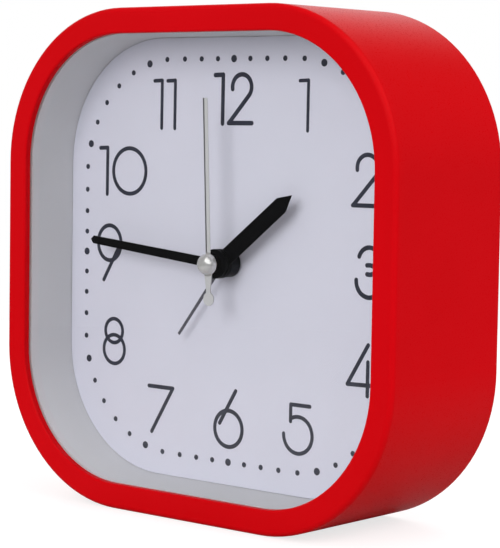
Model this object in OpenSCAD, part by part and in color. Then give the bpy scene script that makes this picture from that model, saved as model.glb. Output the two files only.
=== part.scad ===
// Square alarm clock with a quartz movement, built as an assembly of separate pieces.
// Millimetres. Depths run back from the front plane of the case.

/* [Case] */
// width and height of the case
case_size = 110; // [95:1:140]
// outer corner radius
corner_radius = 34; // [26:0.5:42]
// rim seen from the front, from the outer edge to the window
rim_width = 5.6; // [4.6:0.1:8]
// thickness of the front lip
lip_thickness = 1.6; // [1.2:0.1:4]
// side wall of the case
case_wall = 2.6; // [2.2:0.1:3.4]
// rounding of the front outer edge
front_round = 1.2; // [0.6:0.1:2.2]
// rounding of the lip's inner edge
lip_round = 0.5; // [0.2:0.1:0.9]
// rounding of the rear outer edge
rear_round = 0.8; // [0.3:0.1:1.1]
// width of the rear rebate that the cover drops into
rebate_width = 1.2; // [0.8:0.1:1.4]

/* [Window and dial] */
// window thickness
lens_thickness = 1.5; // [1:0.1:3]
// depth of the dial face behind the front plane
dial_depth = 15.5; // [14.5:0.1:20]
// dial sheet thickness
dial_thickness = 0.3; // [0.3:0.1:1]
// how much narrower the surround gets towards the dial, each side
surround_draft = 0.4; // [0:0.1:1.5]
// wall of the surround
surround_wall = 1.6; // [1:0.1:2]
// front flange of the surround
flange_thickness = 1.6; // [1:0.1:3]
// floor behind the dial
floor_thickness = 1.6; // [1.2:0.1:3]
// radius of the four screw posts
post_radius = 3.4; // [2.6:0.1:4.5]
// post to case wall
post_inset = 3; // [1:0.1:5]

/* [Hands] */
// sheet thickness of the hands
hand_thickness = 0.3; // [0.2:0.05:0.4]
// length of the second hand
second_length = 35.7; // [25:0.1:42]
// width of the second hand
second_width = 1.3; // [0.6:0.1:2]
// tail of the second hand, to the middle of its disc
second_tail = 7.5; // [5:0.1:14]
// radius of the disc on the tail
second_disc = 1.45; // [1:0.05:3]
// radius of the polished dome on the second hand
second_dome = 2.3; // [1.8:0.1:2.8]
// length of the minute hand
minute_length = 37.7; // [28:0.1:42]
// width of the minute hand at its boss
minute_width = 2.1; // [1.2:0.1:3.4]
// length of the hour hand
hour_length = 25.1; // [18:0.1:32]
// width of the hour hand
hour_width = 3.8; // [2:0.1:5]
// length of the alarm hand
alarm_length = 20.8; // [14:0.1:28]
// width of the alarm hand
alarm_width = 0.7; // [0.4:0.1:2]
// radius of the hour and minute bosses
hand_boss = 3.2; // [2.6:0.1:4.5]
// free space between one hand's boss and the next
hand_gap = 0.3; // [0.2:0.05:0.6]
// second hand at rest, degrees clockwise from 12
second_angle = -2.5; // [-180:0.5:180]
// minute hand at rest
minute_angle = -84.6; // [-180:0.1:180]
// hour hand at rest
hour_angle = 51.9; // [-180:0.1:180]
// alarm hand at rest
alarm_angle = -142; // [-180:0.1:180]

/* [Movement] */
// front and rear plates of the movement
plate_thickness = 1.4; // [1.2:0.1:2.5]
// thickness of a wheel
wheel_thickness = 1; // [0.7:0.1:1.4]
// free space between two wheels
layer_gap = 0.85; // [0.75:0.05:1.2]
// side walls of the movement
box_wall = 1.6; // [1:0.1:2.5]
// tooth size of the third wheel; the other wheels follow
train_module = 0.36; // [0.32:0.01:0.42]
// arbors of the going train
arbor_radius = 0.6; // [0.5:0.05:0.75]
// arbors that carry the knobs
setting_arbor_radius = 1; // [0.8:0.1:1.4]
// arbor of the second hand
seconds_arbor_radius = 0.5; // [0.4:0.05:0.6]
// wall of the minute, hour and alarm pipes
pipe_wall = 0.6; // [0.45:0.05:0.8]
// direction of the time knob from the centre, degrees
setting_angle = -25; // [-32:1:-18]

/* [Motor and board] */
// rotor magnet radius
magnet_radius = 2.6; // [2:0.1:3]
// rotor magnet length
magnet_length = 3.2; // [2:0.1:4]
// radius of the coil winding
coil_radius = 4; // [3:0.1:4.6]
// length between the coil's flanges
coil_length = 15; // [11:0.1:16]
// stator and core sheet
stator_thickness = 1; // [0.6:0.1:1.4]
// circuit board thickness
board_thickness = 1.2; // [0.8:0.1:1.6]
// circuit board height
board_height = 10; // [8.5:0.1:10.4]

/* [Battery] */
// cell radius
battery_radius = 7.25; // [6.8:0.05:7.6]
// cell length with its nub
battery_length = 50.5; // [48:0.1:52]
// room for the spring contact
spring_space = 5.5; // [4:0.1:8]
// contact strip thickness
contact_thickness = 0.4; // [0.3:0.05:0.6]

/* [Back] */
// rear cover thickness
cover_thickness = 2; // [1.6:0.1:3]
// rear cover to movement
cover_gap = 1.3; // [1:0.1:3]
// setting knob radius
knob_radius = 6.6; // [5:0.1:8]
// setting knob height
knob_height = 4.8; // [3:0.1:7]
// depth of the wells that the knobs sit in
knob_well = 0.6; // [0.3:0.1:0.9]
// free space round a knob in its well
well_gap = 1; // [0.5:0.1:1.8]
// alarm switch travel
switch_travel = 4; // [2:0.1:5]
// how far the switch button sits in its pocket
switch_sink = 0.6; // [0.3:0.1:0.9]
// depth of the switch behind the cover
switch_depth = 5; // [4:0.1:6]
// free space on each side of the sounder disc
buzzer_margin = 2.6; // [2.2:0.1:4]
// screw thread radius
screw_radius = 1.2; // [0.9:0.1:1.5]
// screw head radius
head_radius = 2.4; // [2:0.1:2.6]
// screw head height
head_height = 1.3; // [1:0.1:1.6]

/* [Fits] */
// radial play of a turning fit
running_fit = 0.05; // [0.03:0.01:0.08]
// play of a piece that drops into its seat
seat_fit = 0.1; // [0.05:0.01:0.2]
// free space around pieces that move past each other
part_gap = 0.25; // [0.2:0.05:0.4]
// tooth thinning of each wheel
backlash = 0.05; // [0.04:0.01:0.07]

/* [Hidden] */
$fn = 64;

// depths of the case stack
case_half = case_size / 2;
lens_back = lip_thickness + lens_thickness;
dial_back = dial_depth + dial_thickness;
floor_back = dial_back + floor_thickness;
base_back = floor_back + plate_thickness;
layers = 7;
layer_pitch = wheel_thickness + layer_gap;
train_end = base_back + layer_gap + layers * layer_pitch;
plate_back = train_end + plate_thickness;
cell_front = base_back + part_gap;
door_rib = 1;
cover_front = max(plate_back + cover_gap, cell_front + 2 * battery_radius + door_rib + 3 * part_gap);
case_depth = cover_front + cover_thickness;
knob_front = case_depth - knob_well + 1.6 * part_gap;
total_depth = knob_front + knob_height;
post_end = cover_front - 1;
post_at = case_half - corner_radius + (corner_radius - case_wall - post_inset - post_radius) / sqrt(2);

// wheel depths, counted from the dial side
alarm_layer = base_back + layer_gap;
hour_layer = alarm_layer + layer_pitch;
minute_layer = hour_layer + layer_pitch;
centre_layer = minute_layer + layer_pitch;
third_layer = centre_layer + layer_pitch;
seconds_layer = third_layer + layer_pitch;
fifth_layer = seconds_layer + layer_pitch;
tooth_over = 0.3;

// pipes around the second arbor
cannon_bore = seconds_arbor_radius + running_fit;
cannon_radius = cannon_bore + pipe_wall;
hour_bore = cannon_radius + running_fit;
hour_radius = hour_bore + pipe_wall;
alarm_bore = hour_radius + running_fit;
alarm_radius = alarm_bore + pipe_wall;
neck_bore = alarm_radius + running_fit;
neck_radius = neck_bore + 1.3;
alarm_hub = alarm_radius + pipe_wall;

// depths of the hands, from the dial forward
alarm_hub_back = dial_depth - 0.4;
alarm_hub_front = alarm_hub_back - 2.75;
hour_boss_back = alarm_hub_front - hand_gap;
hour_boss_front = hour_boss_back - 1;
minute_boss_back = hour_boss_front - hand_gap;
minute_boss_front = minute_boss_back - 1.2;
second_tube_back = minute_boss_front - hand_gap - 0.2;
second_sheet = second_tube_back - 0.95 - hand_thickness;
second_front = second_sheet - second_dome;

// teeth: involute, 30 degrees
pressure_angle = 30;
tooth_head = 0.8;
tooth_foot = 1;
rim_band = 1.2;
pinion_tip = 8 / 2 + tooth_head;

// centre distances and the wheels tied to them
third_distance = (8 + 60) / 2 * train_module;
centre_module = third_distance / ((8 + 64) / 2);
centre_tip = (64 / 2 + tooth_head) * centre_module;
third_tip = (60 / 2 + tooth_head) * train_module;
fifth_distance = centre_tip + arbor_radius + part_gap;
seconds_module = fifth_distance / ((8 + 40) / 2);
fifth_tip = (48 / 2 + tooth_head) * train_module;
rotor_distance = (8 + 48) / 2 * train_module;
setting_distance = centre_tip + setting_arbor_radius + 3.4 * part_gap;
motion_module = setting_distance / ((10 + 30) / 2);
alarm_module = setting_distance / ((10 + 40) / 2);
minute_tip = (30 / 2 + tooth_head) * motion_module;

// plan of the movement, seen from the front
third_clear = third_tip + setting_arbor_radius + 2 * part_gap;
third_swing = acos((pow(third_distance, 2) + pow(setting_distance, 2) - pow(third_clear, 2))
    / (2 * third_distance * setting_distance));
third_angle = setting_angle + third_swing;
fifth_angle = third_angle + 90;
rotor_angle = fifth_angle + 15;
alarm_setting_angle = 180 - setting_angle;
third_at = polar(third_distance, third_angle);
fifth_at = polar(fifth_distance, fifth_angle);
rotor_at = fifth_at + polar(rotor_distance, rotor_angle);
time_at = polar(setting_distance, setting_angle);
alarm_at = polar(setting_distance, alarm_setting_angle);

// step motor
stator_front = minute_layer;
stator_back = stator_front + stator_thickness;
stator_arm = 4;
foot_width = 4;
flange_radius = coil_radius + 0.4;
flange_width = 1;
coil_half = coil_length / 2 + flange_width;
stator_half = coil_half + part_gap + foot_width;
coil_depth = stator_back + stator_thickness / 2;
coil_y = rotor_at[1] + stator_arm + flange_radius + part_gap;
barrel_radius = 1.9;
core_half = 1.2;
foot_at = stator_half - foot_width / 2;

// movement box
bay_clear = 0.5;
zone_bottom = time_at[1] - minute_tip - 1.7;
bay_top = zone_bottom - box_wall;
cell_y = bay_top - bay_clear - battery_radius;
bay_bottom = cell_y - battery_radius - bay_clear;
box_bottom = bay_bottom - box_wall;
board_front = coil_depth + flange_radius + contact_thickness + part_gap;
board_back = board_front + board_thickness;
board_bottom = max(coil_y + flange_radius - board_height - 0.2, fifth_at[1] + fifth_tip + 2 * part_gap);
board_top = board_bottom + board_height;
zone_top = max(board_top, coil_y + flange_radius) + 0.9;
box_top = zone_top + box_wall;
inner_half = max((battery_length + spring_space + 2 * contact_thickness) / 2,
    stator_half - rotor_at[0] + contact_thickness + 4 * part_gap,
    third_at[0] + third_tip + 1);
box_half = inner_half + box_wall;
board_half = inner_half - contact_thickness - 2;
cell_depth = cell_front + battery_radius;
nub_length = 1;
cell_left = -inner_half + contact_thickness;
cell_right = cell_left + battery_length;
ear_reach = 6.4;
ear_at = box_half + ear_reach / 2;
ear_y = [box_bottom + 12, zone_top - 12];
ear_front = floor_back + 3;
clip_y = [zone_bottom + 4, board_top - 15];
contact_post = [4.5, third_at[1] + third_tip - 1];
leaf_front = hour_layer + wheel_thickness + 0.45;
leaf_half = 1.1;

// back
door_half = inner_half + 0.4;
door_bottom = bay_bottom - 1;
door_top = bay_top + 1.4;
door_sheet = 1.2;
ledge = 1.5;
knob_hole = 3.4;
sleeve_radius = knob_hole - 1.6 * part_gap;
switch_y = box_top + 9.4;
switch_half = switch_travel / 2 + 5;
stem_half = 1.4;
slot_half = switch_travel / 2 + stem_half + part_gap;
cap_half = 2.8;
cap_rise = 3.2;
pocket_half = switch_travel / 2 + cap_half + 2 * part_gap;
groove_inset = case_wall + 0.9;
groove_width = 0.8;
groove_depth = 0.4;
side_room = case_half - case_wall - box_half;
buzzer_radius = side_room / 2 - buzzer_margin;
buzzer_at = [-box_half - side_room / 2, board_top - 5];
buzzer_ring = buzzer_radius + 1.4;
slot_reach = buzzer_radius * 0.53;
slot_pitch = buzzer_radius * 0.3;
shoulder = 1.4;
plate_sheet = 0.4;
ceramic_sheet = 0.3;
lead_half = 1.2;
lead_sheet = 0.4;
lead_depth = board_back + lead_sheet;

// helpers

function polar(r, a) = [r * cos(a), r * sin(a)];

function arc(at, r, a0, a1, n) = [for (i = [0:n]) at + polar(r, a0 + (a1 - a0) * i / n)];

function involute(a) = tan(a) * 180 / PI - a;

// half the angle of a tooth at one radius
function tooth_half(teeth, m, rho) =
    let (pitch = teeth * m / 2)
    let (base = pitch * cos(pressure_angle))
    (PI * m / 2 - backlash) / (2 * pitch) * 180 / PI
        + involute(pressure_angle) - involute(acos(base / max(rho, base)));

function tooth(teeth, m) =
    let (pitch = teeth * m / 2)
    let (radii = [pitch - tooth_foot * m, pitch, pitch + tooth_head * m])
    concat([for (i = [0:2]) [radii[i], -tooth_half(teeth, m, radii[i])]],
        [for (i = [2:-1:0]) [radii[i], tooth_half(teeth, m, radii[i])]]);

// turn of a wheel that meshes with another one, along the line at angle to_b
function meshed(to_b, teeth_a, teeth_b, turn_a) =
    to_b + 180 - 360 / teeth_b * ((turn_a - to_b) * teeth_a / 360 + 0.5);

module place() {
    translate([0, -total_depth / 2, case_half])
        rotate([90, 0, 0])
            children();
}

module slab(d0, d1) {
    translate([0, 0, -d1])
        linear_extrude(d1 - d0)
            children();
}

module rod(at, r, d0, d1) {
    translate([at[0], at[1], -d1])
        cylinder(r = r, h = d1 - d0);
}

module block(x, y, d) {
    translate([x[0], y[0], -d[1]])
        cube([x[1] - x[0], y[1] - y[0], d[1] - d[0]]);
}

module teeth(count, m, turn) {
    shape = tooth(count, m);
    polygon([for (t = [0:count - 1]) for (p = shape) polar(p[0], turn + t * 360 / count + p[1])]);
}

// round windows that lighten a wheel between its hub and its teeth
module windows(hub, count, m, front) {
    root = (count / 2 - tooth_foot) * m;
    for (k = [0:4])
        rotate(72 * k)
            rod([(hub + root) / 2, 0], (root - hub) / 2 - rim_band,
                front - 0.1, front + wheel_thickness + 0.1);
}

// plate with the case's outline, set in by inset
module inset_plate(inset, d0, d1) {
    half = case_half - inset;
    r = corner_radius - inset;
    c = half - r;
    slab(d0, d1)
        polygon([
            [half, -c], [half, c], [c, c], [c, half], [-c, half], [-c, c],
            [-half, c], [-half, -c], [-c, -c], [-c, -half], [c, -half], [c, -c],
        ]);
    for (k = [0:3])
        rotate(90 * k)
            translate([c, c, -d1])
                rotate_extrude(angle = 90)
                    square([r, d1 - d0]);
}

// profile carried round the case's outline; x is the offset outwards, y the height
module case_sweep() {
    c = case_half - corner_radius;
    for (k = [0:3])
        rotate(90 * k) {
            translate([c, c, 0])
                rotate_extrude(angle = 90)
                    translate([corner_radius, 0])
                        children();
            translate([case_half, c, 0])
                rotate([90, 0, 0])
                    linear_extrude(2 * c)
                        children();
        }
}

module at_posts() {
    for (x = [-1, 1])
        for (y = [-1, 1])
            translate([x * post_at, y * post_at, 0])
                children();
}

module at_ears() {
    for (x = [-1, 1])
        for (y = ear_y)
            translate([x * ear_at, y, 0])
                children();
}

// rectangle with cut corners for the movement, set in by inset
module box_outline(inset, low, high) {
    w = box_half - inset;
    cut = 3 - inset * 0.6;
    polygon([
        [w, low + cut], [w, high - cut], [w - cut, high], [cut - w, high],
        [-w, high - cut], [-w, low + cut], [cut - w, low], [w - cut, low],
    ]);
}

module screw(d0, length) {
    difference() {
        rod([0, 0], head_radius, d0 - head_height, d0);
        for (k = [0:1])
            rotate(90 * k)
                block([-head_radius * 0.62, head_radius * 0.62], [-0.3, 0.3],
                    [d0 - 0.5 * head_height, d0 + 1]);
    }
    rod([0, 0], screw_radius, d0 - head_height - length, d0 - head_height);
}

// case, window and dial

module case_shell() {
    color("crimson")
        place()
            case_sweep()
                polygon(concat(
                    arc([-front_round, -front_round], front_round, 0, 90, 8),
                    arc([lip_round - rim_width, -lip_round], lip_round, 90, 180, 4),
                    [[-rim_width, -lip_thickness], [-case_wall, -lip_thickness],
                        [-case_wall, -cover_front], [rebate_width - case_wall, -cover_front],
                        [rebate_width - case_wall, -case_depth]],
                    arc([-rear_round, rear_round - case_depth], rear_round, -90, 0, 4)
                ));
}

module lens() {
    color("lightcyan", 0.4)
        place()
            inset_plate(case_wall + seat_fit, lip_thickness, lens_back);
}

module dial_frame() {
    edge = case_wall + seat_fit;
    color("gainsboro")
        place()
            difference() {
                union() {
                    case_sweep()
                        polygon([
                            [-edge, -lens_back], [-edge, -lens_back - flange_thickness],
                            [surround_wall - rim_width, -lens_back - flange_thickness],
                            [surround_wall - rim_width, -dial_back],
                            [-rim_width - surround_draft, -dial_back], [-rim_width, -lens_back],
                        ]);
                    inset_plate(edge, dial_back, floor_back);
                    at_posts()
                        rod([0, 0], post_radius, floor_back, post_end);
                    at_ears()
                        rod([0, 0], ear_reach / 2 - part_gap, floor_back, ear_front);
                }
                rod([0, 0], neck_radius + seat_fit, dial_back - 1, floor_back + 1);
                at_posts()
                    rod([0, 0], screw_radius, floor_back + 4, post_end + 1);
                at_ears()
                    rod([0, 0], screw_radius, dial_back + 0.8, ear_front + 1);
            }
}

module dial_sheet() {
    color("white")
        place()
            difference() {
                inset_plate(rim_width + surround_draft + seat_fit, dial_depth, dial_back);
                rod([0, 0], alarm_radius + part_gap, dial_depth - 1, dial_back + 1);
            }
}

// back

module rear_cover() {
    color("firebrick")
        place()
            difference() {
                union() {
                    inset_plate(case_wall - rebate_width + seat_fit, cover_front, case_depth);
                    at_posts()
                        rod([0, 0], post_radius + 0.8, post_end, cover_front);
                    rod(buzzer_at, buzzer_ring, cover_front - shoulder - plate_sheet - 0.2, cover_front);
                }
                rod(buzzer_at, buzzer_radius + seat_fit, post_end - 4, cover_front - shoulder);
                rod(buzzer_at, buzzer_radius - 1.1, post_end - 4, cover_front);
                // slots that let the sound out
                for (k = [-2:2])
                    block([buzzer_at[0] - slot_reach, buzzer_at[0] + slot_reach],
                        [buzzer_at[1] + slot_pitch * (k - 0.27), buzzer_at[1] + slot_pitch * (k + 0.27)],
                        [cover_front - 1, case_depth + 1]);
                // line round the back
                case_sweep()
                    polygon([
                        [-groove_inset - groove_width, groove_depth - case_depth],
                        [-groove_inset, groove_depth - case_depth],
                        [-groove_inset, -case_depth - 1], [-groove_inset - groove_width, -case_depth - 1],
                    ]);
                at_posts() {
                    rod([0, 0], screw_radius + seat_fit, post_end - 1, case_depth + 1);
                    rod([0, 0], head_radius + part_gap, case_depth - head_height - 0.3, case_depth + 1);
                }
                for (at = [time_at, alarm_at]) {
                    rod(at, knob_hole, cover_front - 1, case_depth + 1);
                    rod(at, knob_radius + well_gap, case_depth - knob_well, case_depth + 1);
                }
                block([-pocket_half, pocket_half],
                    [switch_y - cap_rise - 2 * part_gap, switch_y + cap_rise + 2 * part_gap],
                    [case_depth - switch_sink, case_depth + 1]);
                block([-slot_half, slot_half],
                    [switch_y - stem_half - part_gap, switch_y + stem_half + part_gap],
                    [cover_front - 1, case_depth + 1]);
                block([-door_half, door_half], [door_bottom, door_top],
                    [case_depth - door_sheet, case_depth + 1]);
                block([ledge - door_half, door_half - ledge], [door_bottom, door_top - ledge],
                    [cover_front - 1, case_depth + 1]);
                // thumb notch above the door
                rod([0, door_top], 5, case_depth - door_sheet + 0.3, case_depth + 1);
            }
}

module cover_screws() {
    color("silver")
        place()
            at_posts()
                screw(case_depth - 0.3, cover_front - post_end + cover_thickness + 4);
}

module battery_door() {
    gap = part_gap;
    low = door_bottom + gap;
    rib_back = cell_front + 2 * battery_radius + gap;
    color("indianred")
        place()
            difference() {
                union() {
                    block([gap - door_half, door_half - gap], [low, door_top - gap],
                        [case_depth - door_sheet, case_depth]);
                    // ribs that keep the cell down
                    for (x = [-12, 12])
                        block([x - 0.6, x + 0.6], [cell_y - 4, cell_y + 4],
                            [rib_back, case_depth - door_sheet]);
                    // tabs under the edge of the cover
                    for (x = [-16, 16]) {
                        block([x - 4, x + 4], [low, low + 1.4],
                            [cover_front - 1.5, case_depth - door_sheet]);
                        block([x - 4, x + 4], [low - 2, low + 1.4],
                            [cover_front - 1.5, cover_front - seat_fit]);
                    }
                }
                for (k = [0:3])
                    block([-7, 7], [door_top - 3.4 - 1.6 * k, door_top - 2.6 - 1.6 * k],
                        [case_depth - 0.4, case_depth + 1]);
            }
}

module switch_body() {
    deep = cover_front - switch_depth;
    color("dimgray")
        place()
            difference() {
                block([-switch_half, switch_half], [switch_y - 3.6, switch_y + 3.6], [deep, cover_front]);
                block([1.6 - switch_half, switch_half - 1.6], [switch_y - 2.6, switch_y + 2.6],
                    [cover_front - 3.2, cover_front + 1]);
            }
}

module switch_slider() {
    x = -switch_travel / 2;
    foot = switch_half - 1.6 - switch_travel / 2 - part_gap;
    low = case_depth - switch_sink + part_gap;
    color("black")
        place()
            difference() {
                union() {
                    block([x - foot, x + foot], [switch_y - 2.6 + part_gap, switch_y + 2.6 - part_gap],
                        [cover_front - 3.2 + part_gap, cover_front - part_gap]);
                    block([x - stem_half, x + stem_half], [switch_y - stem_half, switch_y + stem_half],
                        [cover_front - part_gap, low]);
                    block([x - cap_half, x + cap_half], [switch_y - cap_rise, switch_y + cap_rise],
                        [low, low + 2]);
                }
                for (k = [-1:1])
                    block([x + 1.6 * k - 0.35, x + 1.6 * k + 0.35], [switch_y - 4, switch_y + 4],
                        [low + 1.5, low + 3]);
            }
}

module knob(at) {
    back = total_depth;
    translate([at[0], at[1], 0])
        difference() {
            rotate_extrude()
                polygon(concat(
                    [[setting_arbor_radius, -back + 1.2], [setting_arbor_radius, -plate_back - part_gap],
                        [sleeve_radius, -plate_back - part_gap], [sleeve_radius, -knob_front],
                        [knob_radius - 0.5, -knob_front], [knob_radius, -knob_front - 0.5]],
                    arc([knob_radius - 0.7, 0.7 - back], 0.7, 0, -90, 4),
                    [[0, -back], [0, -back + 1.2]]
                ));
            for (k = [0:19])
                rotate(18 * k)
                    rod([knob_radius + 0.35, 0], 0.75, knob_front - 1, back + 1);
        }
}

module time_knob() {
    color("black")
        place()
            knob(time_at);
}

module alarm_knob() {
    color("black")
        place()
            knob(alarm_at);
}

// movement housing

module movement_base() {
    color("lightgray")
        place()
            difference() {
                union() {
                    slab(floor_back, base_back)
                        box_outline(0, box_bottom, box_top);
                    slab(base_back, train_end)
                        difference() {
                            box_outline(0, box_bottom, box_top);
                            box_outline(box_wall, box_bottom + box_wall, box_top - box_wall);
                        }
                    block([-inner_half - 0.4, inner_half + 0.4], [bay_top, zone_bottom],
                        [base_back, train_end]);
                    rod([0, 0], neck_radius, dial_back + seat_fit, floor_back);
                    // saddles under the cell
                    for (x = [-14, 10])
                        difference() {
                            block([x - 0.8, x + 0.8], [bay_bottom - 0.4, bay_top + 0.4],
                                [base_back, cell_depth - 2]);
                            translate([x - 2, cell_y, -cell_depth])
                                rotate([0, 90, 0])
                                    cylinder(r = battery_radius + part_gap, h = 4);
                        }
                    // motor posts and their pins
                    for (s = [-1, 1]) {
                        rod([rotor_at[0] + s * foot_at, coil_y], 1.6, base_back, stator_front);
                        rod([rotor_at[0] + s * foot_at, coil_y], 0.7, stator_front,
                            stator_back + stator_thickness + 0.6);
                    }
                    rod(contact_post, 1.4, base_back, leaf_front);
                    for (x = [board_half - 16, board_half - 3])
                        rod([x, board_bottom + board_height - 1.8], 1.4, base_back, board_front);
                    // ears for the screws
                    for (s = [-1, 1])
                        for (y = ear_y)
                            block([s > 0 ? box_half - 0.4 : -box_half - ear_reach,
                                s > 0 ? box_half + ear_reach : 0.4 - box_half],
                                [y - ear_reach / 2, y + ear_reach / 2],
                                [ear_front, ear_front + 1.5]);
                    // clips over the rear plate
                    for (s = [-1, 1])
                        for (y = clip_y) {
                            block([s > 0 ? box_half - 0.4 : -box_half - 1.2,
                                s > 0 ? box_half + 1.2 : 0.4 - box_half],
                                [y - 2.5, y + 2.5], [train_end - 5, train_end]);
                            block([s > 0 ? box_half + seat_fit : -box_half - 1.2,
                                s > 0 ? box_half + 1.2 : -box_half - seat_fit],
                                [y - 2.5, y + 2.5], [train_end, plate_back + 0.8]);
                            block([s > 0 ? box_half - 0.8 : -box_half - 1.2,
                                s > 0 ? box_half + 1.2 : 0.8 - box_half],
                                [y - 2.5, y + 2.5], [plate_back + seat_fit, plate_back + 0.8]);
                        }
                }
                rod([0, 0], neck_bore, dial_back - 1, base_back + 1);
                for (at = [third_at, fifth_at, rotor_at])
                    rod(at, arbor_radius + running_fit, base_back - 1.1, base_back + 1);
                for (at = [time_at, alarm_at])
                    rod(at, setting_arbor_radius + running_fit, base_back - 1.1, base_back + 1);
                at_ears()
                    rod([0, 0], screw_radius + seat_fit, ear_front - 1, ear_front + 3);
                // contact strips pass the bay's wall
                for (s = [-1, 1])
                    block([s > 0 ? inner_half - contact_thickness - part_gap : -inner_half,
                        s > 0 ? inner_half : contact_thickness + part_gap - inner_half],
                        [bay_top - 1, zone_bottom + 1],
                        [board_front - 4 - part_gap, train_end + 1]);
                // leads pass the outer wall
                block([-box_half - 1, 1 - inner_half],
                    [buzzer_at[1] - lead_half - part_gap, buzzer_at[1] + lead_half + part_gap],
                    [board_back, train_end + 1]);
                block([-lead_half - part_gap, lead_half + part_gap], [zone_top - 1, box_top + 1],
                    [board_back, train_end + 1]);
            }
}

module movement_cover() {
    color("silver")
        place()
            difference() {
                union() {
                    slab(train_end, plate_back)
                        box_outline(0, bay_top, box_top);
                    for (at = [[0, 0], third_at, fifth_at, rotor_at])
                        rod(at, 2.2, plate_back, plate_back + 0.4);
                }
                rod([0, 0], seconds_arbor_radius + running_fit, train_end - 1, train_end + 1.1);
                for (at = [third_at, fifth_at, rotor_at])
                    rod(at, arbor_radius + running_fit, train_end - 1, train_end + 1.1);
                for (at = [time_at, alarm_at])
                    rod(at, setting_arbor_radius + running_fit, train_end - 1, plate_back + 1);
            }
}

module movement_screws() {
    color("silver")
        place()
            at_ears()
                screw(ear_front + 1.5 + head_height, 4);
}

// step motor

module stator() {
    x = rotor_at[0];
    y = rotor_at[1];
    w = stator_half;
    top = coil_y + foot_width / 2;
    color("slategray")
        place()
            difference() {
                slab(stator_front, stator_back)
                    polygon([
                        [x - w + 1, y - stator_arm], [x + w - 1, y - stator_arm], [x + w, y - stator_arm + 1],
                        [x + w, top], [x + w - foot_width, top], [x + w - foot_width, y + stator_arm],
                        [x - w + foot_width, y + stator_arm], [x - w + foot_width, top],
                        [x - w, top], [x - w, y - stator_arm + 1],
                    ]);
                rod(rotor_at, magnet_radius + 2 * part_gap, stator_front - 1, stator_back + 1);
                // detent notches beside the rotor
                for (s = [-1, 1])
                    rod(rotor_at + s * polar(magnet_radius + 2 * part_gap, 50), 0.4,
                        stator_front - 1, stator_back + 1);
                for (s = [-1, 1])
                    rod([x + s * foot_at, coil_y], 0.7, stator_front - 1, stator_back + 1);
            }
}

module coil_core() {
    x = rotor_at[0];
    color("lightslategray")
        place()
            difference() {
                block([x - stator_half, x + stator_half], [coil_y - core_half, coil_y + core_half],
                    [stator_back, stator_back + stator_thickness]);
                for (s = [-1, 1])
                    rod([x + s * foot_at, coil_y], 0.7, stator_back - 1, stator_back + stator_thickness + 1);
            }
}

module along_coil(r, x0, x1) {
    translate([rotor_at[0] + x0, coil_y, -coil_depth])
        rotate([0, 90, 0])
            cylinder(r = r, h = x1 - x0);
}

module coil_bobbin() {
    color("ivory")
        place()
            difference() {
                union() {
                    along_coil(barrel_radius, -coil_half, coil_half);
                    along_coil(flange_radius, -coil_half, flange_width - coil_half);
                    along_coil(flange_radius, coil_half - flange_width, coil_half);
                }
                block([rotor_at[0] - coil_half - 1, rotor_at[0] + coil_half + 1],
                    [coil_y - core_half, coil_y + core_half], [stator_back, stator_back + stator_thickness]);
            }
}

module coil_winding() {
    half = coil_half - flange_width;
    color("peru")
        place()
            difference() {
                along_coil(coil_radius, -half, half);
                along_coil(barrel_radius, -half - 1, half + 1);
            }
}

module rotor_magnet() {
    middle = stator_front + stator_thickness / 2;
    color("darkslategray")
        place()
            difference() {
                rod(rotor_at, magnet_radius, middle - magnet_length / 2, middle + magnet_length / 2);
                rod(rotor_at, arbor_radius + 0.4, middle - magnet_length, middle + magnet_length);
            }
}

module rotor_pinion() {
    middle = stator_front + stator_thickness / 2;
    color("whitesmoke")
        place() {
            rod(rotor_at, arbor_radius, base_back - 1, train_end + 1);
            rod(rotor_at, arbor_radius + 0.4, middle - magnet_length / 2, fifth_layer - tooth_over);
            translate(rotor_at)
                slab(fifth_layer - tooth_over, fifth_layer + wheel_thickness + tooth_over)
                    teeth(8, train_module, meshed(rotor_angle, 48, 8, 0));
        }
}

// going train

module fifth_wheel() {
    color("wheat")
        place()
            translate(fifth_at) {
                rod([0, 0], arbor_radius, base_back - 1, train_end + 1);
                difference() {
                    slab(fifth_layer, fifth_layer + wheel_thickness)
                        teeth(48, train_module, 0);
                    windows(pinion_tip * seconds_module, 48, train_module, fifth_layer);
                }
                slab(seconds_layer - tooth_over, fifth_layer)
                    teeth(8, seconds_module, meshed(fifth_angle, 40, 8, 0));
            }
}

module seconds_wheel() {
    color("wheat")
        place()
            difference() {
                union() {
                    slab(seconds_layer, seconds_layer + wheel_thickness)
                        teeth(40, seconds_module, 0);
                    slab(third_layer - tooth_over, seconds_layer)
                        teeth(8, train_module, 0);
                    rod([0, 0], 1.6, seconds_layer + wheel_thickness, train_end - seat_fit);
                }
                rod([0, 0], seconds_arbor_radius, third_layer - 1, train_end + 1);
                windows(pinion_tip * train_module, 40, seconds_module, seconds_layer);
            }
}

module seconds_arbor() {
    color("silver")
        place()
            rod([0, 0], seconds_arbor_radius, second_front + 0.5, train_end + 1);
}

module third_wheel() {
    color("wheat")
        place()
            translate(third_at) {
                rod([0, 0], arbor_radius, base_back - 1, train_end + 1);
                difference() {
                    slab(third_layer, third_layer + wheel_thickness)
                        teeth(60, train_module, meshed(third_angle, 8, 60, 0));
                    windows(pinion_tip * centre_module, 60, train_module, third_layer);
                }
                slab(centre_layer - tooth_over, third_layer)
                    teeth(8, centre_module, 0);
            }
}

barrel_outer = cannon_radius + 0.85;

module centre_wheel() {
    color("wheat")
        place()
            difference() {
                slab(centre_layer, centre_layer + wheel_thickness)
                    teeth(64, centre_module, meshed(third_angle + 180, 8, 64, 0));
                rod([0, 0], barrel_outer + running_fit, centre_layer - 1, centre_layer + 2);
                windows(barrel_outer + 1.3, 64, centre_module, centre_layer);
            }
}

// motion work

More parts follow.
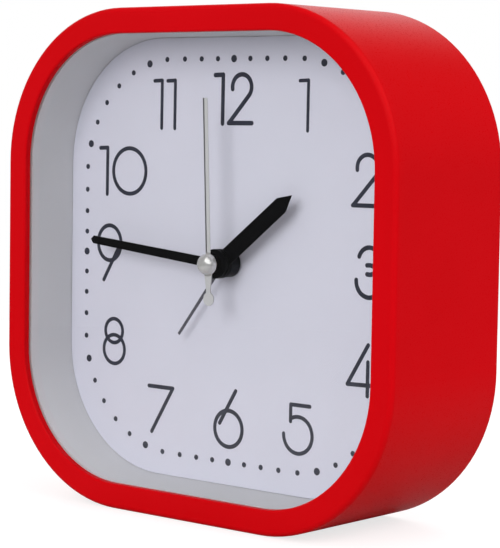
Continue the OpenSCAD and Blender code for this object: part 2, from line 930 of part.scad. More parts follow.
module cannon_pinion() {
    front = minute_layer - tooth_over;
    back = minute_layer + wheel_thickness + tooth_over;
    end = centre_layer + wheel_thickness + running_fit;
    color("gold")
        place()
            difference() {
                union() {
                    rod([0, 0], cannon_radius, minute_boss_front + 0.15, front);
                    slab(front, back)
                        teeth(10, motion_module, 0);
                    rod([0, 0], barrel_outer, back, end);
                    rod([0, 0], barrel_outer + 0.3, end, end + 0.3);
                }
                rod([0, 0], cannon_bore, minute_boss_front - 1, end + 1);
            }
}

module clutch_spring() {
    front = minute_layer + wheel_thickness + tooth_over;
    color("goldenrod")
        place()
            difference() {
                rod([0, 0], barrel_outer + 1.3, front, centre_layer - running_fit);
                rod([0, 0], barrel_outer, front - 1, centre_layer + 1);
                // open between its three feet
                for (k = [0:2])
                    rotate(120 * k)
                        rod([barrel_outer + 1.3, 0], 0.9, front - 1, centre_layer + 1);
            }
}

module minute_wheel() {
    color("wheat")
        place()
            translate(time_at) {
                rod([0, 0], setting_arbor_radius, base_back - 1, total_depth - 1.2);
                difference() {
                    slab(minute_layer, minute_layer + wheel_thickness)
                        teeth(30, motion_module, meshed(setting_angle, 10, 30, 0));
                    windows(pinion_tip * motion_module, 30, motion_module, minute_layer);
                }
                slab(hour_layer - tooth_over, minute_layer)
                    teeth(8, motion_module, 0);
            }
}

module hour_wheel() {
    color("tan")
        place()
            difference() {
                union() {
                    rod([0, 0], hour_radius, hour_boss_front + 0.1, hour_layer);
                    rod([0, 0], hour_radius + 1.4, hour_layer - 0.3, minute_layer - tooth_over - seat_fit);
                    slab(hour_layer, hour_layer + wheel_thickness)
                        teeth(32, motion_module, meshed(setting_angle + 180, 8, 32, 0));
                }
                rod([0, 0], hour_bore, hour_boss_front - 1, minute_layer + 1);
                windows(hour_radius + 1.4, 32, motion_module, hour_layer);
            }
}

module alarm_wheel() {
    color("sienna")
        place()
            difference() {
                union() {
                    rod([0, 0], alarm_radius, alarm_hub_front + 0.1, alarm_layer);
                    rod([0, 0], alarm_radius + 1.2, base_back + seat_fit, hour_layer - 0.3 - seat_fit);
                    slab(alarm_layer, alarm_layer + wheel_thickness)
                        teeth(40, alarm_module, 0);
                }
                rod([0, 0], alarm_bore, alarm_hub_front - 1, hour_layer + 1);
                windows(alarm_radius + 1.2, 40, alarm_module, alarm_layer);
            }
}

module alarm_pinion() {
    color("tan")
        place()
            translate(alarm_at) {
                rod([0, 0], setting_arbor_radius, base_back - 1, total_depth - 1.2);
                slab(alarm_layer - tooth_over, alarm_layer + wheel_thickness + tooth_over)
                    teeth(10, alarm_module, meshed(alarm_setting_angle, 40, 10, 0));
            }
}

module alarm_contact() {
    x = [contact_post[0] - leaf_half, contact_post[0] + leaf_half];
    top = max(board_bottom + 1.6, contact_post[1] + 2);
    color("goldenrod")
        place() {
            block(x, [9.2, top], [leaf_front, leaf_front + 0.3]);
            block(x, [top - 0.3, top], [leaf_front, board_front]);
        }
}

// electronics

module circuit_board() {
    color("darkgreen")
        place()
            difference() {
                block([-board_half, board_half], [board_bottom, board_top], [board_front, board_back]);
                for (x = [-board_half + 6, board_half - 9])
                    rod([x, board_top - 1.8], 0.8, board_front - 1, board_back + 1);
            }
}

module ic_chip() {
    x = board_half - 13;
    color("black")
        place()
            rod([x, board_bottom + 3.6], 2.4, board_front - 1.1, board_front);
}

module quartz_crystal() {
    x = board_half - 8.6;
    y = board_bottom + 3.4;
    d = board_front - 1.7;
    color("gainsboro")
        place() {
            translate([x, y, -d])
                rotate([0, 90, 0])
                    cylinder(r = 1.5, h = 6);
            for (s = [-1, 1])
                block([x - 0.9, x], [y + 0.7 * s - 0.2, y + 0.7 * s + 0.2], [d - 0.2, board_front]);
        }
}

module battery_cell() {
    r = battery_radius;
    body = battery_length - nub_length;
    color("orange")
        place()
            translate([cell_right, cell_y, -cell_depth])
                rotate([0, -90, 0])
                    rotate_extrude()
                        polygon([
                            [0, 0], [r - 0.5, 0], [r, 0.5], [r, body - 0.8], [r - 0.8, body],
                            [2.75, body], [2.75, battery_length], [0, battery_length],
                        ]);
}

module contact_strip() {
    t = contact_thickness;
    tab = inner_half - board_half + 2;
    block([0, t], [cell_y - 4, cell_y + 4], [base_back + 1, train_end - 1]);
    block([0, t], [cell_y, board_bottom + 3.4], [board_front - 4, board_front]);
    block([0, tab], [board_bottom + 0.6, board_bottom + 3.4], [board_front - t, board_front]);
}

module contact_positive() {
    color("silver")
        place()
            translate([-inner_half, 0, 0])
                contact_strip();
}

module contact_negative() {
    t = contact_thickness;
    in = inner_half - cell_right;
    top = base_back + 1;
    color("silver")
        place()
            translate([inner_half, 0, 0]) {
                mirror([1, 0, 0])
                    contact_strip();
                // folded leaf that presses on the cell's base
                translate([0, cell_y + 3, 0])
                    rotate([90, 0, 0])
                        linear_extrude(6)
                            polygon([
                                [0, -top], [-t, -top], [-in, -cell_depth + 2], [-in, -cell_depth - 2],
                                [1 - in, -train_end + 2], [1 - in + t, -train_end + 2],
                                [t - in, -cell_depth - 2 + 0.1], [t - in, -cell_depth + 2 - 0.1],
                                [-t, -top - 1],
                                [0, -top - 1],
                            ]);
            }
}

module buzzer_plate() {
    back = cover_front - shoulder;
    color("gold")
        place()
            rod(buzzer_at, buzzer_radius, back - plate_sheet, back);
}

module buzzer_ceramic() {
    back = cover_front - shoulder - plate_sheet;
    color("white")
        place()
            rod(buzzer_at, buzzer_radius - 2.5, back - ceramic_sheet, back);
}

module buzzer_lead() {
    y = [buzzer_at[1] - lead_half, buzzer_at[1] + lead_half];
    back = cover_front - shoulder - plate_sheet - ceramic_sheet;
    bend = -box_half - 1.4;
    color("gray")
        place() {
            block([buzzer_at[0] - 1, bend], y, [back - lead_sheet, back]);
            block([bend - lead_sheet, bend], y, [board_back, back]);
            block([bend - lead_sheet, 2 - board_half], y, [board_back, lead_depth]);
        }
}

module switch_lead() {
    color("gray")
        place()
            block([-lead_half, lead_half], [board_top - 2, switch_y - 3.6], [board_back, lead_depth]);
}

// hands

module hand(angle) {
    rotate(-angle)
        children();
}

module second_hand() {
    back = second_sheet + hand_thickness;
    edge = second_sheet + hand_thickness * 0.65;
    half = second_width / 2;
    waist = second_width * 0.45;
    root = second_dome * 0.55;
    color("silver")
        place()
            hand(second_angle)
                difference() {
                    union() {
                        // blade with bevelled edges
                        rotate([-90, 0, 0])
                            linear_extrude(second_length)
                                polygon([
                                    [-half, back], [-half, edge], [-half * 0.15, second_sheet],
                                    [half * 0.15, second_sheet], [half, edge], [half, back],
                                ]);
                        // tail with a waist before its disc
                        slab(second_sheet, back) {
                            polygon([
                                [root, 0], [-root, 0], [-waist, 2 - second_tail], [-waist, -second_tail],
                                [waist, -second_tail], [waist, 2 - second_tail],
                            ]);
                            translate([0, -second_tail])
                                circle(second_disc);
                        }
                        rod([0, 0], 1.05, back, second_tube_back);
                        // polished dome
                        difference() {
                            translate([0, 0, -second_sheet])
                                sphere(second_dome);
                            rod([0, 0], second_dome + 1, back, back + second_dome);
                        }
                    }
                    rod([0, 0], seconds_arbor_radius, second_front + 0.5, second_tube_back + 1);
                }
}

module minute_hand() {
    mid = minute_boss_back - 0.35;
    tip = minute_width * 0.42;
    color("black")
        place()
            hand(minute_angle)
                difference() {
                    union() {
                        slab(mid - hand_thickness, mid)
                            polygon([
                                [-minute_width / 2, 0], [minute_width / 2, 0], [tip, minute_length - 0.8],
                                [0, minute_length], [-tip, minute_length - 0.8],
                            ]);
                        rod([0, 0], hand_boss, minute_boss_front + 0.45, minute_boss_back);
                        rod([0, 0], cannon_radius + 0.7, minute_boss_front, minute_boss_front + 0.45);
                    }
                    rod([0, 0], cannon_radius, minute_boss_front - 1, minute_boss_back + 1);
                }
}

module hour_hand() {
    mid = hour_boss_back - 0.2;
    tip = hour_width * 0.48;
    color("black")
        place()
            hand(hour_angle)
                difference() {
                    union() {
                        slab(mid - hand_thickness, mid)
                            polygon([
                                [-hour_width / 2, 0], [hour_width / 2, 0], [tip, hour_length - 3.5],
                                [0, hour_length], [-tip, hour_length - 3.5],
                            ]);
                        rod([0, 0], hand_boss, hour_boss_front, hour_boss_back);
                    }
                    rod([0, 0], hour_radius, hour_boss_front - 1, hour_boss_back + 1);
                }
}

module alarm_hand() {
    tip = alarm_width * 0.4;
    color("dimgray")
        place()
            hand(alarm_angle)
                difference() {
                    union() {
                        slab(alarm_hub_front + 0.5, alarm_hub_front + 0.5 + hand_thickness)
                            polygon([
                                [-alarm_width / 2, 0], [alarm_width / 2, 0],
                                [tip, alarm_length], [-tip, alarm_length],
                            ]);
                        rod([0, 0], alarm_hub, alarm_hub_front, alarm_hub_back);
                    }
                    rod([0, 0], alarm_radius, alarm_hub_front - 1, alarm_hub_back + 1);
                }
}

case_shell();
lens();
dial_frame();
dial_sheet();
rear_cover();
cover_screws();
battery_door();
switch_slider();
switch_body();
time_knob();
alarm_knob();
movement_base();
movement_cover();
movement_screws();
stator();
coil_core();
coil_bobbin();
coil_winding();
rotor_magnet();
rotor_pinion();
fifth_wheel();
seconds_wheel();
seconds_arbor();
third_wheel();
centre_wheel();
clutch_spring();
cannon_pinion();
minute_wheel();
hour_wheel();
alarm_wheel();
alarm_pinion();
alarm_contact();
circuit_board();
ic_chip();
quartz_crystal();
battery_cell();
contact_positive();
contact_negative();
buzzer_plate();
buzzer_ceramic();
buzzer_lead();
switch_lead();
second_hand();
minute_hand();
hour_hand();
alarm_hand();
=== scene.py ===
"""Looks of a square alarm clock: finishes, dial print and studio, set around the clock's CAD frame."""

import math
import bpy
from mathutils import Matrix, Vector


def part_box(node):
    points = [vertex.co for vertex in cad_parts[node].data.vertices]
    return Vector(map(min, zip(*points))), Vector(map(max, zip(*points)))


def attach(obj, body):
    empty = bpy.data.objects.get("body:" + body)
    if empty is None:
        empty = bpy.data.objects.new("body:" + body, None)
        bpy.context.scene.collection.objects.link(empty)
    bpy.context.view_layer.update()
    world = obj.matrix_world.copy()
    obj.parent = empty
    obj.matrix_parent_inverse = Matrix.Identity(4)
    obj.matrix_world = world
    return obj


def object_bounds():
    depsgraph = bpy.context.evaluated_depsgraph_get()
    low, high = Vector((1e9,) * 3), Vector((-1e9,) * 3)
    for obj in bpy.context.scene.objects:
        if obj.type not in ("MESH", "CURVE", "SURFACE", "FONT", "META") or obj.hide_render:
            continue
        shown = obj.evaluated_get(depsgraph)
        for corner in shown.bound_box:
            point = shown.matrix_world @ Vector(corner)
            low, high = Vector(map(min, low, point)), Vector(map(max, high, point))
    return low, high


bl_info = {
    "name": "Square alarm clock",
    "version": (1, 0, 0),
    "blender": (4, 5, 0),
    "location": "3D View > Sidebar > Clock",
    "description": "Finishes, dial print and studio stage for a square alarm clock",
    "category": "Object",
}

import bmesh
import bpy
from bpy.props import FloatProperty, FloatVectorProperty, PointerProperty
from mathutils import Matrix, Vector
from mathutils.geometry import delaunay_2d_cdt

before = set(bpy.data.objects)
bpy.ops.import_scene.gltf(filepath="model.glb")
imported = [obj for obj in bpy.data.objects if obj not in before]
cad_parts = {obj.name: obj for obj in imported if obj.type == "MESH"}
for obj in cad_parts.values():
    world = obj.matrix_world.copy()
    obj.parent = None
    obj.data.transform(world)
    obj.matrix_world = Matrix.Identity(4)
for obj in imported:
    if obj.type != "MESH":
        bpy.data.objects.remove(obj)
CAD_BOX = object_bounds()


# settings


def length(name, description, millimetres):
    """A length in metres, written in millimetres."""
    return FloatProperty(
        name=name, description=description, default=millimetres / 1000, min=0, unit="LENGTH", precision=5
    )


def angle(name, description, degrees):
    """An angle, written in degrees."""
    return FloatProperty(
        name=name, description=description, default=math.radians(degrees), subtype="ANGLE"
    )


def colour(name, description, rgb):
    """A colour with linear values."""
    return FloatVectorProperty(
        name=name, description=description, default=rgb, size=3, min=0, max=1, subtype="COLOR"
    )


def power(name, description, watts):
    """The power of a light."""
    return FloatProperty(name=name, description=description, default=watts, min=0, unit="POWER")


def strength(name, description, value):
    """The strength of the light from all round."""
    return FloatProperty(name=name, description=description, default=value, min=0, max=5)


class ClockPrint(bpy.types.PropertyGroup):
    """Sizes of what is printed on the dial and marked on the back."""

    pen: length("Pen", "Stroke width of the numerals", 0.92)
    ink: length("Ink", "Thickness of the print", 0.03)
    track: length("Track", "Half the width of the square that the minute dots follow", 44.05)
    track_radius: length("Track radius", "Corner radius of the minute track", 26.47)
    lift: length("Lift", "How far the print sits above the middle of the card", 0.2)
    minute_dot: length("Minute dot", "Diameter of a minute dot", 1.18)
    hour_dot: length("Hour dot", "Diameter of the dot at an hour", 1.62)
    mark: length("Mark", "Stroke width of the marks on the back", 0.5)


class ClockColours(bpy.types.PropertyGroup):
    """Colours of the pieces that show."""

    shell: colour("Shell", "Case, back and battery door", (0.625, 0.0007, 0.004))
    shell_shade: colour("Shell shade", "Darker parts of the moulding", (0.595, 0.0005, 0.003))
    wall: colour("Surround", "Wall between the window and the dial", (0.67, 0.675, 0.695))
    dial: colour("Dial", "Dial card", (0.69, 0.695, 0.8))
    ink: colour("Ink", "Numerals and dots", (0.034, 0.038, 0.062))
    black: colour("Black hands", "Hour and minute hands", (0.0015, 0.0016, 0.0025))
    grey: colour("Alarm hand", "Blade of the alarm hand", (0.1, 0.1, 0.12))
    hub: colour("Alarm hub", "Hub of the alarm hand", (0.001, 0.0015, 0.005))
    blade: colour("Second hand", "Silver paint of the second hand", (0.535, 0.54, 0.55))
    # painted shade: the colour given to the second hand's left-leaning flank
    flank: colour("Flank Shade", "Dark flank of the second hand", (0.09, 0.09, 0.095))
    bright: colour("Boss", "Polished boss of the second hand", (0.92, 0.92, 0.9))
    mark: colour("Marks", "Plain marks printed on the back", (0.72, 0.7, 0.69))
    control: colour("Controls", "Knobs and switch", (0.022, 0.022, 0.024))
    floor: colour("Floor", "Studio floor", (0.55, 0.55, 0.55))


class ClockStage(bpy.types.PropertyGroup):
    """Camera and light."""

    yaw: angle("Yaw", "Turn of the camera to the left", 40.329)
    pitch: angle("Pitch", "Downward tilt", 4.293)
    roll: angle("Roll", "Turn about the line of sight", 0.906)
    place: FloatVectorProperty(
        name="Place",
        description="Where the camera stands",
        default=(0.29158, -0.3434, 0.08638),
        size=3,
        subtype="TRANSLATION",
    )
    lens: FloatProperty(
        name="Lens",
        description="Focal length on a 36 mm frame",
        default=134.86,
        min=20,
        max=300,
        unit="CAMERA",
    )
    shift: FloatVectorProperty(
        name="Shift",
        description="Sideways and upward shift of the lens",
        default=(0.0014, -0.0024),
        size=2,
    )
    front: power("Front light", "Power of the soft light in front", 5.4)
    side: power("Side light", "Power of the soft light on the right", 4.5)
    behind: power("Back light", "Power of the soft light behind", 3.0)
    shine: power("Gloss light", "Power of the wide light that shows only in gloss", 11.5)
    sky: strength("Sky", "Even light from all round", 0.68)
    gleam: strength("Gleam", "How bright the room beside the backdrop looks in gloss", 0.06)
    backdrop: FloatVectorProperty(
        name="Backdrop",
        description="Where the white backdrop stands",
        default=(-0.646, 0.763, 0.1),
        size=3,
        subtype="DIRECTION",
    )


# shader groups


FLOAT = "NodeSocketFloat"
COLOUR = "NodeSocketColor"
VECTOR = "NodeSocketVector"
FINISH = (("Base Color", COLOUR), ("Roughness", FLOAT), ("Height", FLOAT))

# ranges of a value: all of it, and the middle part of a noise, which rarely reaches its ends
FULL = (0.0, 1.0)
DRIFT_SPAN = (0.35, 0.65)
GRAIN_SPAN = (0.3, 0.7)

# lean to the left where the painted shade on a hand's flank begins, and where it is full
SHADED_FLANK_LEAN = (-0.1, -0.3)

# leaves out depth, so that only the distance across the dial counts
ACROSS_DIAL = (1.0, 0.0, 1.0)


def math_node(tree, operation, first, second):
    """A Math node between two sockets, or a socket and a number."""
    made = tree.nodes.new("ShaderNodeMath")
    made.operation = operation
    for target, source in zip(made.inputs, (first, second)):
        if isinstance(source, bpy.types.NodeSocket):
            tree.links.new(source, target)
        else:
            target.default_value = source
    return made.outputs["Value"]


class Graph:
    """A shader node group under construction."""

    def __init__(self, name, inputs, outputs=FINISH):
        self.tree = bpy.data.node_groups.new(name, "ShaderNodeTree")
        for label, kind, default in inputs:
            socket = self.tree.interface.new_socket(label, in_out="INPUT", socket_type=kind)
            socket.default_value = default
        for label, kind in outputs:
            self.tree.interface.new_socket(label, in_out="OUTPUT", socket_type=kind)
        self.given = self.tree.nodes.new("NodeGroupInput").outputs
        self.made = self.tree.nodes.new("NodeGroupOutput").inputs

    def node(self, kind, links=(), **settings):
        """Adds a node, sets its properties, and links or sets its inputs."""
        made = self.tree.nodes.new(kind)
        for label, value in settings.items():
            setattr(made, label, value)
        for target, source in dict(links).items():
            if isinstance(source, bpy.types.NodeSocket):
                self.tree.links.new(source, made.inputs[target])
            else:
                made.inputs[target].default_value = source
        return made

    def place(self):
        """Where a point is on its piece."""
        return self.node("ShaderNodeTexCoord").outputs["Object"]

    def noise(self, place, scale, detail):
        """Soft noise between 0 and 1."""
        links = {"Vector": place, "Scale": scale, "Detail": detail}
        return self.node("ShaderNodeTexNoise", links).outputs["Fac"]

    def vector(self, operation, *values):
        """Outputs of a Vector Math node on one or two vectors."""
        return self.node("ShaderNodeVectorMath", dict(enumerate(values)), operation=operation).outputs

    def spread(self, value, source, target, interpolation="LINEAR"):
        """Maps one range of a value to another, and stops at its ends."""
        links = {"Value": value, "From Min": source[0], "From Max": source[1]}
        links.update({"To Min": target[0], "To Max": target[1]})
        return self.node("ShaderNodeMapRange", links, interpolation_type=interpolation).outputs["Result"]

    def blend(self, factor, first, second):
        """Mixes two colours."""
        return self.node("ShaderNodeMix", {0: factor, 6: first, 7: second}, data_type="RGBA").outputs[2]

    def give(self, *sockets):
        """Links sockets to the group's outputs, in their order, and hands the group over."""
        for socket, target in zip(sockets, self.made):
            self.tree.links.new(socket, target)
        return self.tree


def shared(name, build):
    """A node group by name, built the first time it is asked for."""
    return bpy.data.node_groups.get(name) or build(name)


def moulded_surface(name):
    """Moulded plastic, card or paint: slow drift of colour, fine grain in gloss and height."""
    graph = Graph(
        name,
        (
            ("Colour", COLOUR, (0.5, 0.5, 0.5, 1)),
            ("Shade", COLOUR, (0.45, 0.45, 0.45, 1)),
            ("Drift Scale", FLOAT, 40.0),
            ("Grain Scale", FLOAT, 2500.0),
            ("Rough Low", FLOAT, 0.4),
            ("Rough High", FLOAT, 0.5),
        ),
    )
    given = graph.given
    place = graph.place()
    drift = graph.noise(place, given["Drift Scale"], 4.0)
    grain = graph.noise(place, given["Grain Scale"], 2.0)
    tone = graph.blend(graph.spread(drift, DRIFT_SPAN, FULL), given["Colour"], given["Shade"])
    gloss = graph.spread(grain, GRAIN_SPAN, (given["Rough Low"], given["Rough High"]))
    return graph.give(tone, gloss, grain)


def drawn_metal(name):
    """Rolled, drawn or brushed metal: streaks along one direction."""
    graph = Graph(
        name,
        (
            ("Colour", COLOUR, (0.6, 0.6, 0.6, 1)),
            ("Shade", COLOUR, (0.5, 0.5, 0.5, 1)),
            ("Streaks", VECTOR, (300.0, 300.0, 9000.0)),
            ("Rough Low", FLOAT, 0.2),
            ("Rough High", FLOAT, 0.35),
        ),
    )
    given = graph.given
    drawn = graph.vector("MULTIPLY", graph.place(), given["Streaks"])["Vector"]
    streak = graph.noise(drawn, 1.0, 3.0)
    tone = graph.blend(streak, given["Colour"], given["Shade"])
    gloss = graph.spread(streak, GRAIN_SPAN, (given["Rough Low"], given["Rough High"]))
    return graph.give(tone, gloss, streak)


def wound_wire(name):
    """Turns of thin wire side by side along X."""
    graph = Graph(
        name,
        (
            ("Colour", COLOUR, (0.6, 0.3, 0.1, 1)),
            ("Shade", COLOUR, (0.2, 0.08, 0.03, 1)),
            ("Turns", FLOAT, 1200.0),
            ("Rough Low", FLOAT, 0.25),
            ("Rough High", FLOAT, 0.5),
        ),
    )
    given = graph.given
    wave = graph.node(
        "ShaderNodeTexWave",
        {"Vector": graph.place(), "Scale": given["Turns"], "Distortion": 0.6, "Detail": 1.0},
        wave_type="BANDS",
        bands_direction="X",
    )
    turns = wave.outputs["Fac"]
    tone = graph.blend(turns, given["Shade"], given["Colour"])
    gloss = graph.spread(turns, FULL, (given["Rough High"], given["Rough Low"]))
    return graph.give(tone, gloss, turns)


def printed_board(name):
    """Solder mask with the faint relief of copper tracks under it."""
    graph = Graph(
        name,
        (
            ("Colour", COLOUR, (0.02, 0.16, 0.06, 1)),
            ("Shade", COLOUR, (0.05, 0.3, 0.12, 1)),
            ("Tracks", FLOAT, 260.0),
            ("Rough Low", FLOAT, 0.3),
            ("Rough High", FLOAT, 0.45),
        ),
    )
    given = graph.given
    turned = graph.node("ShaderNodeMapping", {"Vector": graph.place(), "Rotation": (math.pi / 2, 0, 0)})
    bricks = graph.node(
        "ShaderNodeTexBrick",
        {
            "Vector": turned.outputs["Vector"],
            "Scale": given["Tracks"],
            "Mortar Size": 0.06,
            "Brick Width": 0.8,
            "Row Height": 0.3,
        },
    )
    tracks = bricks.outputs["Fac"]
    tone = graph.blend(tracks, given["Colour"], given["Shade"])
    gloss = graph.spread(tracks, FULL, (given["Rough High"], given["Rough Low"]))
    return graph.give(tone, gloss, tracks)


def paper_with_painted_falloff(name):
    """Studio paper whose colour darkens away from its middle, painted shade that stands for the dim room.
    """
    graph = Graph(
        name,
        (
            ("Colour", COLOUR, (0.86, 0.86, 0.86, 1)),
            ("Shade", COLOUR, (0.05, 0.05, 0.05, 1)),
            ("Near", FLOAT, 0.1),
            ("Far", FLOAT, 0.4),
            ("Fibre Scale", FLOAT, 900.0),
            ("Rough Low", FLOAT, 0.75),
            ("Rough High", FLOAT, 0.95),
        ),
    )
    given = graph.given
    place = graph.place()
    away = graph.vector("LENGTH", place)["Value"]
    # painted shade: the paper's colour falls to the dark shade between near and far
    painted_falloff = graph.spread(away, (given["Near"], given["Far"]), FULL, "SMOOTHSTEP")
    fibre = graph.noise(place, given["Fibre Scale"], 3.0)
    tone = graph.blend(painted_falloff, given["Colour"], given["Shade"])
    gloss = graph.spread(fibre, FULL, (given["Rough Low"], given["Rough High"]))
    return graph.give(tone, gloss, fibre)


def hand_with_painted_shade(name):
    """Paint with painted shade on the flank that leans left, and a boss of another finish at the pivot."""
    graph = Graph(
        name,
        (
            ("Colour", COLOUR, (0.6, 0.6, 0.62, 1)),
            ("Flank Shade", COLOUR, (0.1, 0.1, 0.1, 1)),
            ("Boss Colour", COLOUR, (0.9, 0.9, 0.9, 1)),
            ("Pivot", VECTOR, (0.0, 0.0, 0.0)),
            ("Boss", FLOAT, 0.0026),
            ("Boss Metal", FLOAT, 0.65),
            ("Grain Scale", FLOAT, 4000.0),
            ("Rough Low", FLOAT, 0.2),
            ("Rough High", FLOAT, 0.4),
        ),
        FINISH + (("Metallic", FLOAT),),
    )
    given = graph.given
    surface = graph.node("ShaderNodeTexCoord").outputs
    arm = graph.vector("SUBTRACT", surface["Object"], given["Pivot"])["Vector"]
    flat = graph.vector("MULTIPLY", arm, ACROSS_DIAL)["Vector"]
    away = graph.vector("LENGTH", flat)["Value"]
    boss = math_node(graph.tree, "LESS_THAN", away, given["Boss"])
    lean = graph.node("ShaderNodeSeparateXYZ", {0: surface["Normal"]}).outputs["X"]
    grain = graph.noise(surface["Object"], given["Grain Scale"], 2.0)
    # painted shade: faces that lean to the left take the darker flank colour
    paint = graph.blend(graph.spread(lean, SHADED_FLANK_LEAN, FULL), given["Colour"], given["Flank Shade"])
    tone = graph.blend(boss, paint, given["Boss Colour"])
    gloss = graph.spread(boss, FULL, (given["Rough High"], given["Rough Low"]))
    bare = math_node(graph.tree, "MULTIPLY", boss, given["Boss Metal"])
    return graph.give(tone, gloss, grain, bare)


# materials


def opaque(rgb):
    """A colour with full alpha."""
    return (*rgb[:3], 1.0)


def darker(rgb, share):
    """A colour turned down a little."""
    return tuple(c * share for c in rgb[:3])


def finish(name, group, values, bump=0.0, depth=0.00002, **plain):
    """A material whose colour, gloss and relief come from a shader group."""
    made = bpy.data.materials.new(name)
    made.use_nodes = True
    tree = made.node_tree
    shader = tree.nodes["Principled BSDF"]
    for label, value in plain.items():
        shader.inputs[label.replace("_", " ")].default_value = value
    effect = tree.nodes.new("ShaderNodeGroup")
    effect.node_tree = shared(group.__name__, group)
    effect.location = (-500, 200)
    for label, value in values.items():
        effect.inputs[label].default_value = value
    tree.links.new(effect.outputs["Base Color"], shader.inputs["Base Color"])
    tree.links.new(effect.outputs["Roughness"], shader.inputs["Roughness"])
    if "Metallic" in effect.outputs:
        tree.links.new(effect.outputs["Metallic"], shader.inputs["Metallic"])
    if bump:
        grain = tree.nodes.new("ShaderNodeBump")
        grain.location = (-250, -150)
        grain.inputs["Strength"].default_value = bump
        grain.inputs["Distance"].default_value = depth
        tree.links.new(effect.outputs["Height"], grain.inputs["Height"])
        tree.links.new(grain.outputs["Normal"], shader.inputs["Normal"])
    return made


def two_tones(rgb, shade, rough):
    """Values that moulded and drawn finishes share."""
    low, high = rough
    return {"Colour": opaque(rgb), "Shade": opaque(shade), "Rough Low": low, "Rough High": high}


def plastic(name, rgb, shade, rough, grain=2500.0, drift=40.0, bump=0.06, **plain):
    """A moulded finish."""
    values = two_tones(rgb, shade, rough)
    values.update({"Grain Scale": grain, "Drift Scale": drift})
    return finish(name, moulded_surface, values, bump, **plain)


def printed(name, rgb, shade, rough):
    """A thin layer of printing ink."""
    return plastic(name, rgb, shade, rough, grain=4000.0, drift=300.0, bump=0.03)


def metal(name, rgb, shade, rough, bump=0.03):
    """A drawn or rolled metal finish."""
    return finish(name, drawn_metal, two_tones(rgb, shade, rough), bump, Metallic=1.0)


def clear_window(name):
    """Clear acrylic that lets the studio light through to the dial."""
    made = plastic(
        name,
        rgb=(1.0, 1.0, 1.0),
        shade=(0.985, 0.99, 0.99),
        rough=(0.0, 0.01),
        grain=600.0,
        drift=30.0,
        bump=0.0,
        Transmission_Weight=1.0,
        IOR=1.49,
    )
    tree = made.node_tree
    path = tree.nodes.new("ShaderNodeLightPath").outputs
    through = tree.nodes.new("ShaderNodeBsdfTransparent")
    blend = tree.nodes.new("ShaderNodeMixShader")
    lets_pass = math_node(tree, "MAXIMUM", path["Is Shadow Ray"], path["Is Diffuse Ray"])
    tree.links.new(lets_pass, blend.inputs["Fac"])
    tree.links.new(tree.nodes["Principled BSDF"].outputs["BSDF"], blend.inputs[1])
    tree.links.new(through.outputs["BSDF"], blend.inputs[2])
    tree.links.new(blend.outputs["Shader"], tree.nodes["Material Output"].inputs["Surface"])
    return made


def coat(nodes, made):
    """Gives CAD nodes a material."""
    for name in nodes:
        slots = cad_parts[name].data.materials
        slots.clear()
        slots.append(made)


# dial print


MINUTES = 60

# degrees between the points of an arc, and its least count of steps
ARC_STEP = 7
ARC_LEAST = 6

# steps round the end of a stroke, and sides of a dot
CAP_STEPS = 8
DOT_SIDES = 28

# points of crossing strokes that are nearer than this, in metres, become one
MERGE = 2e-6


def arc(x, z, radius, start, end, rise=None):
    """Points of an arc between two angles, in millimetres; rise is the upright radius of an oval."""
    count = max(ARC_LEAST, int(abs(end - start) / ARC_STEP))
    turns = (math.radians(start + (end - start) * i / count) for i in range(count + 1))
    return [(x + radius * math.cos(t), z + (rise or radius) * math.sin(t)) for t in turns]


# strokes of each digit in millimetres, around its middle
DIGITS = {
    "0": [arc(0, 0, 5.05, 0, 360, 5.15)],
    "1": [[(-2.3, 5.2), (0, 5.3)], [(0, 5.3), (-0.05, -5.3)]],
    "2": [arc(0, 2.55, 2.7, 190, -43) + [(-3.6, -5.25)], [(-3.7, -5.25), (2.9, -5.2)]],
    "3": [arc(0, 2.1, 2.75, 163, -101, 2.8), arc(0, -2.1, 3.3, 100, -182, 3.35)],
    "4": [[(0, 5.3), (-5.25, -3.2)], [(-5.25, -3.2), (2.15, -3.05)], [(0, 1.75), (0, -5.3)]],
    "5": [[(3.15, 5.2), (-2.05, 5.2)], [(-2.05, 5.2), (-2.05, 1.55)], arc(0, -1.25, 3.9, 122, -180, 3.95)],
    "6": [arc(0, -2.25, 3.95, 0, 360, 4.0), [(1.95, 6.25), (-2.55, -1.2)]],
    "7": [[(-3.65, 5.15), (3.65, 5.15)], [(3.65, 5.15), (-2.65, -5.15)]],
    "8": [arc(-0.05, 2.4, 2.7, 0, 360, 2.75), arc(0.05, -1.85, 3.25, 0, 360, 3.3)],
    "9": [arc(0, 2.3, 3.6, 0, 360, 4.0), [(2.55, 0.9), (-1.75, -6.25)]],
}

# digits on the dial: weight of stroke, and where the middle is in millimetres
NUMERALS = (
    ("1", 0.84, 20.75, 34.1),
    ("2", 1.0, 36.7, 18.9),
    ("3", 1.06, 37.6, 0.2),
    ("4", 0.98, 37.75, -20.4),
    ("5", 0.94, 19.5, -34.65),
    ("6", 1.0, -0.05, -34.4),
    ("7", 1.0, -20.3, -34.55),
    ("8", 0.94, -35.05, -20.2),
    ("9", 1.0, -36.8, 0.0),
    ("1", 1.0, -37.7, 18.75),
    ("0", 1.0, -30.75, 18.9),
    ("1", 0.93, -21.0, 34.05),
    ("1", 0.93, -17.05, 34.05),
    ("1", 1.1, -3.0, 35.3),
    ("2", 1.1, 2.4, 35.4),
)


def moved(strokes, x, z):
    """Strokes shifted on the face."""
    return [[(px + x, pz + z) for px, pz in points] for points in strokes]


def in_metres(points):
    """Points that were written in millimetres."""
    return [(x / 1000, z / 1000) for x, z in points]


